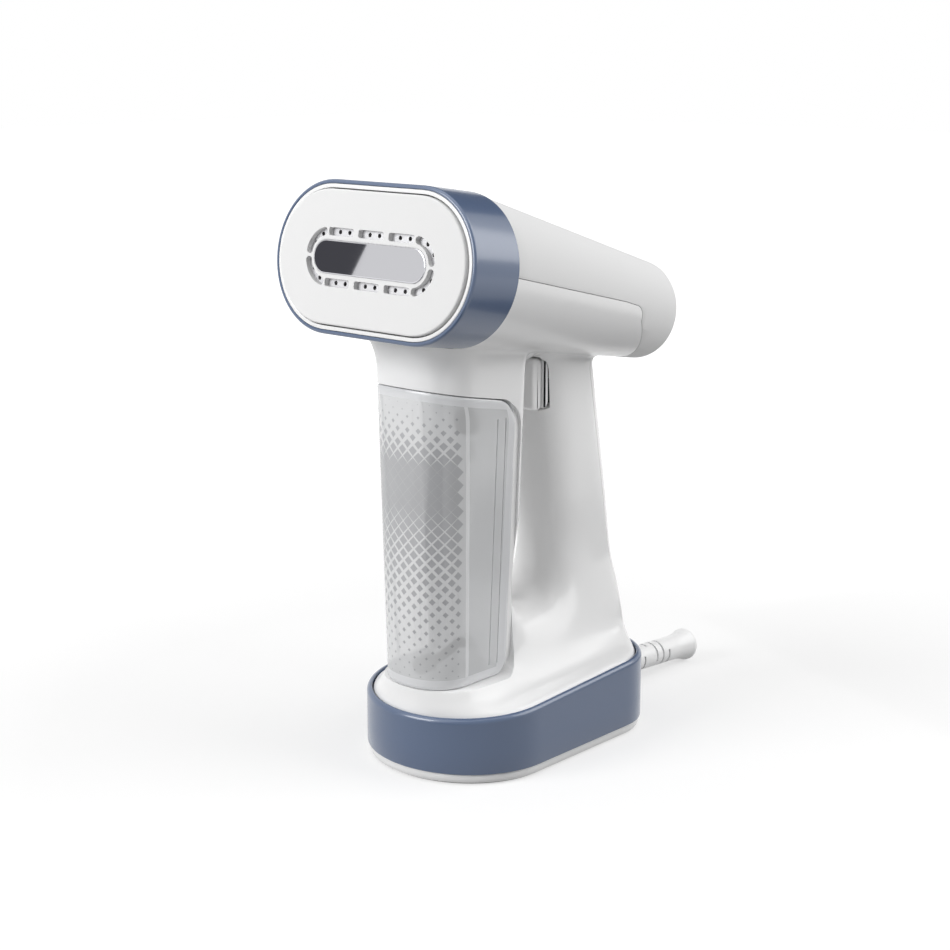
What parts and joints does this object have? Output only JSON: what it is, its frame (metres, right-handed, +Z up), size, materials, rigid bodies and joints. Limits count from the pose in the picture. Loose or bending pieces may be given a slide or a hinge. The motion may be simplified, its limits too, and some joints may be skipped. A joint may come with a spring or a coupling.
{
  "type": "garment steamer",
  "caption": "Handheld garment steamer standing on its base, with a wide steam head, barrel, slide-out water tank, closed handle with trigger, and a flexible cord guard.",
  "frame": {"origin": "centre of the resting face under the base", "axes": "+Z up, -Y the side that the steam head faces, +X to the right of someone who looks along +Y"},
  "size_m": [0.1336, 0.2715, 0.3029],
  "materials": {
    "white_abs": "gloss",
    "white_base": "satin",
    "matt_white_abs": "matt",
    "slate_blue_abs": "satin",
    "rubber_grey": "matt",
    "plate_aluminium": "satin",
    "badge_chrome": "mirror",
    "cast_aluminium": "cast",
    "steel": "satin",
    "ceramic": "matt",
    "brass": "satin",
    "dark_plastic": "satin",
    "light_plastic": "satin",
    "silicone": "satin",
    "red_plastic": "satin",
    "lead_insulation": "satin",
    "board_laminate": "satin",
    "tank_plastic": "translucent"
  },
  "bodies": {
    "body": {"foot_pad": "rubber_grey", "base_plate": "white_base", "base_band": "slate_blue_abs", "main_housing": "white_abs", "rear_cover": "white_abs", "barrel_cover": "matt_white_abs", "head_ring": "slate_blue_abs", "plate_frame": "white_abs", "plate_gasket": "rubber_grey", "steam_plate": "plate_aluminium", "jet_plate": "plate_aluminium", "center_badge": "badge_chrome", "steam_chamber": "cast_aluminium", "chamber_cover": "cast_aluminium", "heating_element": "steel", "heater_terminals": "ceramic", "chamber_screws": "steel", "steam_inlet": "brass", "thermostat": "dark_plastic", "thermal_fuse": "ceramic", "heat_shield": "steel", "pump": "dark_plastic", "pump_clamp": "light_plastic", "pump_spring": "steel", "inlet_hose": "silicone", "outlet_hose": "silicone", "tank_socket": "light_plastic", "socket_seal": "rubber_grey", "control_board": "board_laminate", "board_parts": "dark_plastic", "board_screws": "steel", "terminal_block": "ceramic", "heater_leads": "lead_insulation", "switch_leads": "lead_insulation", "cord_guard": "white_abs", "cord_clamp": "light_plastic", "base_screws": "steel", "micro_switch": "dark_plastic", "switch_bracket": "light_plastic", "trigger_pin": "steel", "trigger_spring": "steel"},
    "trigger": {"trigger": "white_abs"},
    "switch_button": {"switch_button": "red_plastic"},
    "pump_plunger": {"pump_plunger": "steel"},
    "tank": {"tank_shell": "tank_plastic", "tank_back": "tank_plastic", "suction_hose": "rubber_grey", "suction_filter": "rubber_grey", "outlet_valve": "rubber_grey", "fill_plug": "rubber_grey"}
  },
  "joints": [
    {"name": "trigger_press", "type": "hinge", "parent": "body", "child": "trigger", "pos_m": [0, 0.0206, 0.2028], "axis": [1, 0, 0], "range_deg": [0, 8], "stiffness_Nm_per_rad": 0.6},
    {"name": "switch_press", "type": "slide", "parent": "body", "child": "switch_button", "axis": [0, 1, 0], "range_m": [0, 0.00235]},
    {"name": "pump_stroke", "type": "slide", "parent": "body", "child": "pump_plunger", "axis": [0, 0, 1], "range_m": [0, 0.0025], "stiffness_N_per_m": 400, "deforming": ["pump_spring"]},
    {"name": "tank_slide", "type": "slide", "parent": "body", "child": "tank", "axis": [0, -1, 0], "range_m": [0, 0.09]}
  ],
  "couplings": [
    {"joint": "switch_press", "follows": "trigger_press", "m_per_rad": 0.016}
  ]
}
